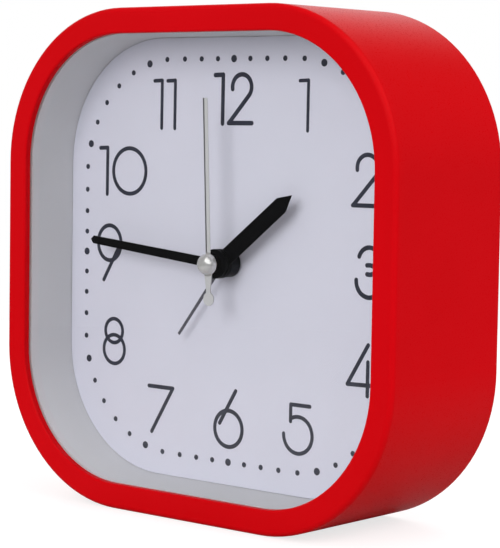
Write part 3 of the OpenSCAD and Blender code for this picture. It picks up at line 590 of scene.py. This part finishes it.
def stroke(shape, points, pen):
    """Adds one pen stroke with round ends to a flat mesh."""
    points = [Vector(p) for p in points]
    closed = (points[0] - points[-1]).length < pen / 100
    if closed:
        points.pop()
    count = len(points)
    sides = []
    for i, p in enumerate(points):
        back = points[i - 1] if i or closed else None
        ahead = points[(i + 1) % count] if i < count - 1 or closed else None
        run = ((ahead or p) - (back or p)).normalized()
        across = Vector((-run.y, run.x)) * pen / 2
        if back and ahead:
            across /= max(0.5, run.dot((ahead - p).normalized()))
        sides.append([shape.verts.new((*q, 0)) for q in (p + across, p - across)])
    for i in range(count if closed else count - 1):
        (a, b), (c, d) = sides[i], sides[(i + 1) % count]
        shape.faces.new((a, b, d, c))
    if closed:
        return
    for (a, b), p in ((sides[0], points[0]), (sides[-1][::-1], points[-1])):
        spoke = a.co.to_2d() - p
        turns = (math.radians(180 / CAP_STEPS * k) for k in range(1, CAP_STEPS))
        rim = [p + Matrix.Rotation(turn, 2) @ spoke for turn in turns]
        shape.faces.new([a] + [shape.verts.new((*q, 0)) for q in rim] + [b])


def disc(shape, at, diameter):
    """Adds one round dot to a flat mesh."""
    turns = (k * math.tau / DOT_SIDES for k in range(DOT_SIDES))
    ring = [at + Vector((math.cos(t), math.sin(t))) * diameter / 2 for t in turns]
    shape.faces.new([shape.verts.new((*q, 0)) for q in ring])


def joined(shape):
    """Points and faces of one flat sheet without overlaps, in place of strokes that cross."""
    shape.verts.index_update()
    points = [v.co.to_2d() for v in shape.verts]
    faces = [[v.index for v in face.verts] for face in shape.faces]
    shape.free()
    points, _, faces, _, _, sources = delaunay_2d_cdt(points, [], faces, 1, MERGE)
    return points, [face for face, source in zip(faces, sources) if source]


def relief(name, shape, thick, made, stand, body):
    """Raises a flat mesh by a thickness, stands it on a piece and lets it ride on a body."""
    points, faces = joined(shape)
    solid = bmesh.new()
    low, high = ([solid.verts.new((*p, z)) for p in points] for z in (0, thick))
    runs = {run for face in faces for run in zip(face, face[1:] + face[:1])}
    for face in faces:
        solid.faces.new([high[i] for i in face])
        solid.faces.new([low[i] for i in reversed(face)])
    for a, b in sorted(runs):
        if (b, a) not in runs:
            solid.faces.new((low[a], low[b], high[b], high[a]))
    solid.transform(stand)
    mesh = bpy.data.meshes.new(name)
    solid.to_mesh(mesh)
    solid.free()
    mesh.materials.append(made)
    piece = bpy.data.objects.new(name, mesh)
    bpy.context.scene.collection.objects.link(piece)
    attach(piece, body)


def on_front(node):
    """Turns a flat mesh to face forward, in the middle of a node's front."""
    low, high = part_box(node)
    middle = (low + high) / 2
    return Matrix.Translation((middle.x, low.y, middle.z)) @ Matrix.Rotation(math.pi / 2, 4, "X")


def on_back(node, face):
    """Turns a flat mesh to face backward, behind the middle of a node, on the face of another."""
    low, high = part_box(node)
    middle = (low + high) / 2
    turn = Matrix.Rotation(math.pi, 4, "Z") @ Matrix.Rotation(math.pi / 2, 4, "X")
    return Matrix.Translation((middle.x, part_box(face)[1].y, middle.z)) @ turn


def on_track(minute, half, radius):
    """Where the ray of a minute meets the rounded square track."""
    turn = minute * math.tau / MINUTES
    ray = Vector((math.sin(turn), math.cos(turn)))
    straight = half - radius
    end = ray * (half / max(abs(ray.x), abs(ray.y)))
    if min(abs(end.x), abs(end.y)) > straight:
        middle = Vector((math.copysign(straight, ray.x), math.copysign(straight, ray.y)))
        along = ray.dot(middle)
        end = ray * (along + math.sqrt(along**2 - middle.length_squared + radius**2))
    return end


# marks on the back, in millimetres around the middle of a piece


# an arrow's radius, the degrees where its tip lies, its barbs, and how high the picture above it is
ARROW_RADIUS = 9.0
ARROW_TIP = 52
BARB = 1.6
BARB_TURNS = (38, -30)
PICTURE_RISE = 13.2


def turning_arrow():
    """An arc over a knob with a barbed end."""
    tip = math.radians(ARROW_TIP)
    end = Vector((ARROW_RADIUS * math.cos(tip), ARROW_RADIUS * math.sin(tip)))
    back = Vector((-math.sin(tip), math.cos(tip))) * BARB
    barbs = (end + Matrix.Rotation(math.radians(turn), 2) @ back for turn in BARB_TURNS)
    return [arc(0, 0, ARROW_RADIUS, 180 - ARROW_TIP, ARROW_TIP)] + [[tuple(end), tuple(b)] for b in barbs]


LETTERS = {
    "O": [arc(0, 0, 0.95, 0, 360, 1.2)],
    "N": [[(-0.8, -1.2), (-0.8, 1.2)], [(-0.8, 1.2), (0.8, -1.2)], [(0.8, -1.2), (0.8, 1.2)]],
    "F": [[(-0.6, -1.2), (-0.6, 1.2)], [(-0.5, 1.2), (0.7, 1.2)], [(-0.5, 0.1), (0.5, 0.1)]],
}
SWITCH_WORDS = (("O", 9.4), ("N", 12.2), ("O", -14.4), ("F", -11.7), ("F", -9.5))
SWITCH_MARKS = [points for letter, x in SWITCH_WORDS for points in moved(LETTERS[letter], x, 0)]

SMALL_CLOCK = [arc(0, 0, 2.1, 0, 360), [(0, 1.3), (0, 0)], [(0, 0), (0.95, -0.45)]]
SMALL_BELL = [
    [(-2.1, -1.3), (2.1, -1.3)],
    [(-1.5, -1.3)] + arc(0, 0.3, 1.5, 180, 0) + [(1.5, -1.3)],
    [(-0.25, -2.1), (0.25, -2.1)],
]
TIME_MARKS = turning_arrow() + moved(SMALL_CLOCK, 0, PICTURE_RISE)
ALARM_MARKS = turning_arrow() + moved(SMALL_BELL, 0, PICTURE_RISE)

# outline of a cell with its nub, plus and minus, and two arrowheads for the way the door is let down
DOOR_MARKS = [
    [(-13, -7), (13, -7), (13, 0), (-13, 0), (-13, -7)],
    [(13, -5), (14.4, -5), (14.4, -2), (13, -2)],
    [(8.6, -3.5), (11, -3.5)],
    [(9.8, -4.7), (9.8, -2.3)],
    [(-11, -3.5), (-8.6, -3.5)],
    [(-12.6, 4.8), (-11, 3.2), (-9.4, 4.8)],
    [(12.6, 4.8), (11, 3.2), (9.4, 4.8)],
]

BACK_MARKS = (
    ("time_marks", TIME_MARKS, "time_knob", "housing"),
    ("alarm_marks", ALARM_MARKS, "alarm_knob", "housing"),
    ("switch_marks", SWITCH_MARKS, "switch_body", "housing"),
    ("door_marks", DOOR_MARKS, "battery_door", "door"),
)


# operators


class CLOCK_OT_case(bpy.types.Operator):
    """Gives the red mouldings their satin finish, and the back its plain marks."""

    bl_idname = "clock.case"
    bl_label = "Case"

    def execute(self, context):
        tint, size = context.scene.clock_colours, context.scene.clock_print
        shell = plastic(
            "satin_red",
            tint.shell,
            tint.shell_shade,
            rough=(0.26, 0.34),
            grain=3200.0,
            drift=25.0,
            bump=0.05,
            Specular_IOR_Level=0.05,
        )
        coat(("case_shell", "rear_cover", "battery_door"), shell)
        pale = printed("pale_print", tint.mark, darker(tint.mark, 0.92), (0.5, 0.6))
        for name, strokes, node, body in BACK_MARKS:
            shape = bmesh.new()
            for points in strokes:
                stroke(shape, in_metres(points), size.mark)
            relief(name, shape, size.ink, pale, on_back(node, "rear_cover"), body)
        return {"FINISHED"}


class CLOCK_OT_window(bpy.types.Operator):
    """Makes the window clear."""

    bl_idname = "clock.window"
    bl_label = "Window"

    def execute(self, context):
        coat(("lens",), clear_window("clear_acrylic"))
        return {"FINISHED"}


class CLOCK_OT_dial(bpy.types.Operator):
    """Finishes the surround and the dial, and prints numerals and minute dots."""

    bl_idname = "clock.dial"
    bl_label = "Dial"

    def execute(self, context):
        tint, size = context.scene.clock_colours, context.scene.clock_print
        wall = plastic("matt_surround", tint.wall, darker(tint.wall, 0.96), (0.5, 0.6), grain=1800.0)
        coat(("dial_frame",), wall)
        shade = darker(tint.dial, 0.985)
        card = plastic("dial_card", tint.dial, shade, (0.55, 0.65), grain=2600.0, drift=60.0, bump=0.03)
        coat(("dial_sheet",), card)
        ink = printed("dial_ink", tint.ink, darker(tint.ink, 0.75), (0.4, 0.55))
        stand = on_front("dial_sheet") @ Matrix.Translation((0, size.lift, 0))
        shape = bmesh.new()
        for digit, weight, x, z in NUMERALS:
            for points in moved(DIGITS[digit], x, z):
                stroke(shape, in_metres(points), size.pen * weight)
        relief("dial_numerals", shape, size.ink, ink, stand, "housing")
        shape = bmesh.new()
        for minute in range(MINUTES):
            dot = size.minute_dot if minute % 5 else size.hour_dot
            disc(shape, on_track(minute, size.track, size.track_radius), dot)
        relief("minute_dots", shape, size.ink, ink, stand, "housing")
        return {"FINISHED"}


# reach of the alarm hand's dark hub in metres, and how strong the paint's fine relief is
HUB_REACH = 0.0031
PAINT_BUMP = 0.03


class CLOCK_OT_hands(bpy.types.Operator):
    """Finishes the four hands."""

    bl_idname = "clock.hands"
    bl_label = "Hands"

    def execute(self, context):
        tint = context.scene.clock_colours
        black = plastic(
            "black_paint",
            tint.black,
            darker(tint.black, 0.7),
            rough=(0.35, 0.45),
            grain=5000.0,
            Specular_IOR_Level=0.06,
        )
        coat(("minute_hand", "hour_hand"), black)
        silver = {
            "Colour": opaque(tint.blade),
            # painted shade on the second hand's left flank
            "Flank Shade": opaque(tint.flank),
            "Boss Colour": opaque(tint.bright),
            "Pivot": self.pivot("second_hand"),
        }
        coat(("second_hand",), finish("silvered_hand_with_painted_shade", hand_with_painted_shade, silver, PAINT_BUMP))
        grey = {
            "Colour": opaque(tint.grey),
            # painted shade: the alarm hand's left flank is a darker copy of its grey
            "Flank Shade": opaque(darker(tint.grey, 0.8)),
            "Boss Colour": opaque(tint.hub),
            "Pivot": self.pivot("alarm_hand"),
            "Boss": HUB_REACH,
            "Boss Metal": 0.0,
            "Rough Low": 0.35,
        }
        paint = finish("grey_paint_with_painted_shade", hand_with_painted_shade, grey, PAINT_BUMP, Specular_IOR_Level=0.15)
        coat(("alarm_hand",), paint)
        return {"FINISHED"}

    def pivot(self, node):
        """The hands' axis in the middle of the dial, in a node's own space."""
        low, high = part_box("dial_sheet")
        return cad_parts[node].matrix_world.inverted() @ ((low + high) / 2)


class CLOCK_OT_controls(bpy.types.Operator):
    """Finishes the knobs, the alarm switch and the screws."""

    bl_idname = "clock.controls"
    bl_label = "Controls"

    def execute(self, context):
        tint = context.scene.clock_colours.control
        shade = darker(tint, 0.7)
        black = plastic("matt_black", tint, shade, (0.42, 0.55), grain=2200.0, drift=60.0, bump=0.1)
        coat(("time_knob", "alarm_knob", "switch_slider", "switch_body"), black)
        plated = metal("plated_screw", (0.58, 0.58, 0.6), (0.45, 0.45, 0.47), (0.22, 0.38))
        coat(("cover_screws", "movement_screws"), plated)
        return {"FINISHED"}


class CLOCK_OT_movement(bpy.types.Operator):
    """Finishes the movement's plates, wheels and pipes."""

    bl_idname = "clock.movement"
    bl_label = "Movement"

    def execute(self, context):
        plates = plastic(
            "movement_moulding", (0.55, 0.55, 0.53), (0.5, 0.5, 0.48), (0.45, 0.55), grain=1500.0
        )
        coat(("movement_base", "movement_cover", "coil_bobbin"), plates)
        wheels = plastic(
            "natural_acetal", (0.82, 0.77, 0.65), (0.76, 0.7, 0.56), (0.35, 0.45), grain=1800.0
        )
        names = "fifth_wheel seconds_wheel third_wheel centre_wheel minute_wheel hour_wheel alarm_wheel"
        coat(names.split() + ["alarm_pinion", "rotor_pinion"], wheels)
        brass = metal("bright_brass", (0.72, 0.5, 0.2), (0.6, 0.4, 0.15), (0.18, 0.3))
        coat(("cannon_pinion", "clutch_spring", "alarm_contact", "buzzer_plate"), brass)
        steel = metal("plated_steel", (0.62, 0.62, 0.63), (0.52, 0.52, 0.53), (0.2, 0.35))
        coat(("seconds_arbor", "contact_positive", "contact_negative"), steel)
        return {"FINISHED"}


class CLOCK_OT_electrics(bpy.types.Operator):
    """Finishes the motor, the board, the cell and the sounder."""

    bl_idname = "clock.electrics"
    bl_label = "Electrics"

    def execute(self, context):
        iron = metal("motor_iron", (0.4, 0.41, 0.43), (0.3, 0.31, 0.33), (0.35, 0.5))
        coat(("stator", "coil_core"), iron)
        copper = {"Colour": (0.7, 0.3, 0.12, 1), "Shade": (0.25, 0.09, 0.03, 1)}
        wire = finish("enamelled_wire", wound_wire, copper, bump=0.5, depth=0.0001, Metallic=0.6)
        coat(("coil_winding",), wire)
        coat(("circuit_board",), finish("solder_mask", printed_board, {}, bump=0.3, depth=0.00005))
        epoxy = plastic("black_epoxy", (0.015, 0.015, 0.016), (0.01, 0.01, 0.01), (0.15, 0.25))
        coat(("ic_chip",), epoxy)
        can = metal("drawn_can", (0.74, 0.74, 0.75), (0.66, 0.66, 0.67), (0.15, 0.28))
        coat(("quartz_crystal",), can)
        sleeve = metal("sleeved_cell", (0.16, 0.18, 0.22), (0.12, 0.14, 0.17), (0.25, 0.35))
        coat(("battery_cell",), sleeve)
        magnet = plastic("sintered_magnet", (0.1, 0.1, 0.11), (0.07, 0.07, 0.08), (0.5, 0.65))
        coat(("rotor_magnet",), magnet)
        ceramic = plastic("fired_ceramic", (0.82, 0.8, 0.74), (0.76, 0.74, 0.68), (0.3, 0.45))
        coat(("buzzer_ceramic",), ceramic)
        lead = plastic("flat_lead", (0.35, 0.35, 0.37), (0.3, 0.3, 0.32), (0.4, 0.5))
        coat(("buzzer_lead", "switch_lead"), lead)
        return {"FINISHED"}


# stage


# soft lights: degrees round from the front, degrees up, and diameter in metres
LAMPS = {
    "front_light": (5, 20, 0.7),
    "side_light": (100, 35, 0.6),
    "back_light": (225, 25, 0.8),
    "gloss_light": (56, 48, 1.8),
}
LAMP_DISTANCE = 1.1

# the floor as the camera sees it glows to white, and its paper's tone sets how deep the shadow is
FLOOR_RADIUS = 0.42
FLOOR_SIDES = 96
FLOOR_GLOW = 0.74
FLOOR_PAPER = (0.36, 0.36, 0.36)

# closeness to the backdrop's direction, as a cosine, where its edge begins and where it is full
BACKDROP_EDGE = (0.65, 0.98)

SENSOR_WIDTH = 36


def thrown_rays(tree, path):
    """A mask of rays that gloss has thrown on."""
    return math_node(tree, "GREATER_THAN", path["Glossy Depth"], 0.5)


def seen_rays(tree, path, thrown):
    """A mask of rays straight from the camera, also through the window."""
    clear = math_node(tree, "SUBTRACT", path["Is Transmission Ray"], thrown)
    return math_node(tree, "MAXIMUM", path["Is Camera Ray"], clear)


class CLOCK_OT_stage(bpy.types.Operator):
    """Sets the floor, the lights, the white surroundings and the camera."""

    bl_idname = "clock.stage"
    bl_label = "Stage"

    def execute(self, context):
        scene = context.scene
        set_up = scene.clock_stage
        scene.view_settings.view_transform = "Standard"
        self.floor(scene)
        self.surroundings(scene, set_up)
        self.lamp(scene, "front_light", set_up.front)
        self.lamp(scene, "side_light", set_up.side)
        self.lamp(scene, "back_light", set_up.behind)
        self.lamp(scene, "gloss_light", set_up.shine, in_gloss=True)
        self.camera(scene, set_up)
        return {"FINISHED"}

    def floor(self, scene):
        """A round sheet of paper that looks white from the camera and keeps the shadow."""
        shape = bmesh.new()
        bmesh.ops.create_circle(shape, cap_ends=True, segments=FLOOR_SIDES, radius=FLOOR_RADIUS)
        mesh = bpy.data.meshes.new("studio_floor")
        shape.to_mesh(mesh)
        shape.free()
        floor = bpy.data.objects.new("studio_floor", mesh)
        scene.collection.objects.link(floor)
        # the floor's colour darkens away from its middle: painted shade for the dim room
        made = finish("paper_floor", paper_with_painted_falloff, {"Colour": opaque(scene.clock_colours.floor)})
        tree = made.node_tree
        path = tree.nodes.new("ShaderNodeLightPath").outputs
        seen = seen_rays(tree, path, thrown_rays(tree, path))
        glow = tree.nodes.new("ShaderNodeEmission")
        glow.inputs["Strength"].default_value = FLOOR_GLOW
        paper = tree.nodes.new("ShaderNodeBsdfDiffuse")
        paper.inputs["Color"].default_value = opaque(FLOOR_PAPER)
        white = tree.nodes.new("ShaderNodeAddShader")
        tree.links.new(glow.outputs["Emission"], white.inputs[0])
        tree.links.new(paper.outputs["BSDF"], white.inputs[1])
        lit = tree.nodes.new("ShaderNodeMixShader")
        tree.links.new(seen, lit.inputs["Fac"])
        tree.links.new(tree.nodes["Principled BSDF"].outputs["BSDF"], lit.inputs[1])
        tree.links.new(white.outputs["Shader"], lit.inputs[2])
        tree.links.new(lit.outputs["Shader"], tree.nodes["Material Output"].inputs["Surface"])
        mesh.materials.append(made)

    def surroundings(self, scene, set_up):
        """White to the camera, an even sky for light, and a backdrop in a dim room for gloss."""
        world = bpy.data.worlds.new("white_studio")
        world.use_nodes = True
        scene.world = world
        tree = world.node_tree
        path = tree.nodes.new("ShaderNodeLightPath").outputs
        thrown = thrown_rays(tree, path)
        aim = tree.nodes.new("ShaderNodeVectorMath")
        aim.operation = "DOT_PRODUCT"
        tree.links.new(tree.nodes.new("ShaderNodeTexCoord").outputs["Generated"], aim.inputs[0])
        aim.inputs[1].default_value = Vector(set_up.backdrop).normalized()
        screen = tree.nodes.new("ShaderNodeMapRange")
        screen.interpolation_type = "SMOOTHSTEP"
        tree.links.new(aim.outputs["Value"], screen.inputs["Value"])
        screen.inputs["From Min"].default_value, screen.inputs["From Max"].default_value = BACKDROP_EDGE
        screen.inputs["To Min"].default_value = set_up.gleam
        shine = tree.nodes.new("ShaderNodeMix")
        tree.links.new(math_node(tree, "MAXIMUM", path["Is Glossy Ray"], thrown), shine.inputs["Factor"])
        shine.inputs[2].default_value = set_up.sky
        tree.links.new(screen.outputs["Result"], shine.inputs[3])
        level = tree.nodes.new("ShaderNodeMix")
        tree.links.new(seen_rays(tree, path, thrown), level.inputs["Factor"])
        tree.links.new(shine.outputs[0], level.inputs[2])
        level.inputs[3].default_value = 1.0
        background = tree.nodes["Background"].inputs
        background["Color"].default_value = (1, 1, 1, 1)
        tree.links.new(level.outputs[0], background["Strength"])

    def lamp(self, scene, name, watts, in_gloss=False):
        """A soft round light that faces the clock, and lights either matt surfaces or gloss."""
        around, above, size = LAMPS[name]
        data = bpy.data.lights.new(name, "AREA")
        data.shape = "DISK"
        data.size = size
        data.energy = watts
        lamp = bpy.data.objects.new(name, data)
        lamp.visible_glossy = lamp.visible_transmission = in_gloss
        lamp.visible_diffuse = not in_gloss
        scene.collection.objects.link(lamp)
        turn, rise = math.radians(around), math.radians(above)
        ray = Vector((math.sin(turn) * math.cos(rise), -math.cos(turn) * math.cos(rise), math.sin(rise)))
        low, high = (Vector(corner) for corner in CAD_BOX)
        lamp.location = (low + high) / 2 + ray * LAMP_DISTANCE
        lamp.rotation_euler = (-ray).to_track_quat("-Z", "Y").to_euler()

    def camera(self, scene, set_up):
        """A long lens to the right of the front, a little above the middle."""
        data = bpy.data.cameras.new("photo_camera")
        data.sensor_width = SENSOR_WIDTH
        data.lens = set_up.lens
        data.shift_x, data.shift_y = set_up.shift
        camera = bpy.data.objects.new("photo_camera", data)
        scene.collection.objects.link(camera)
        ahead = Vector((
            -math.sin(set_up.yaw) * math.cos(set_up.pitch),
            math.cos(set_up.yaw) * math.cos(set_up.pitch),
            -math.sin(set_up.pitch),
        ))
        right = Vector((math.cos(set_up.yaw), math.sin(set_up.yaw), 0))
        up = right.cross(ahead)
        tilt = Matrix.Rotation(set_up.roll, 3, -ahead)
        axes = Matrix((tilt @ right, tilt @ up, -ahead)).transposed().to_4x4()
        camera.matrix_world = Matrix.Translation(set_up.place) @ axes
        scene.camera = camera


# panel and registration


class CLOCK_PT_build(bpy.types.Panel):
    """Lists the steps that dress the clock."""

    bl_idname = "CLOCK_PT_build"
    bl_label = "Square alarm clock"
    bl_space_type = "VIEW_3D"
    bl_region_type = "UI"
    bl_category = "Clock"

    def draw(self, context):
        for step in STEPS:
            self.layout.operator(step.bl_idname)
        for group in SETTINGS:
            settings = getattr(context.scene, group)
            box = self.layout.box()
            for label in settings.bl_rna.properties.keys():
                if label not in ("name", "rna_type"):
                    box.prop(settings, label)


SETTINGS = {"clock_print": ClockPrint, "clock_colours": ClockColours, "clock_stage": ClockStage}
STEPS = (
    CLOCK_OT_case,
    CLOCK_OT_window,
    CLOCK_OT_dial,
    CLOCK_OT_hands,
    CLOCK_OT_controls,
    CLOCK_OT_movement,
    CLOCK_OT_electrics,
    CLOCK_OT_stage,
)


def register():
    """Adds the settings, the steps and the panel to Blender."""
    for name, kind in SETTINGS.items():
        bpy.utils.register_class(kind)
        setattr(bpy.types.Scene, name, PointerProperty(type=kind))
    for kind in (*STEPS, CLOCK_PT_build):
        bpy.utils.register_class(kind)


def unregister():
    """Takes them out again."""
    for kind in (CLOCK_PT_build, *reversed(STEPS)):
        bpy.utils.unregister_class(kind)
    for name, kind in SETTINGS.items():
        delattr(bpy.types.Scene, name)
        bpy.utils.unregister_class(kind)


def main():
    """Dresses the clock."""
    register()
    bpy.ops.clock.case()
    bpy.ops.clock.window()
    bpy.ops.clock.dial()
    bpy.ops.clock.hands()
    bpy.ops.clock.controls()
    bpy.ops.clock.movement()
    bpy.ops.clock.electrics()
    bpy.ops.clock.stage()


if __name__ == "__main__":
    main()
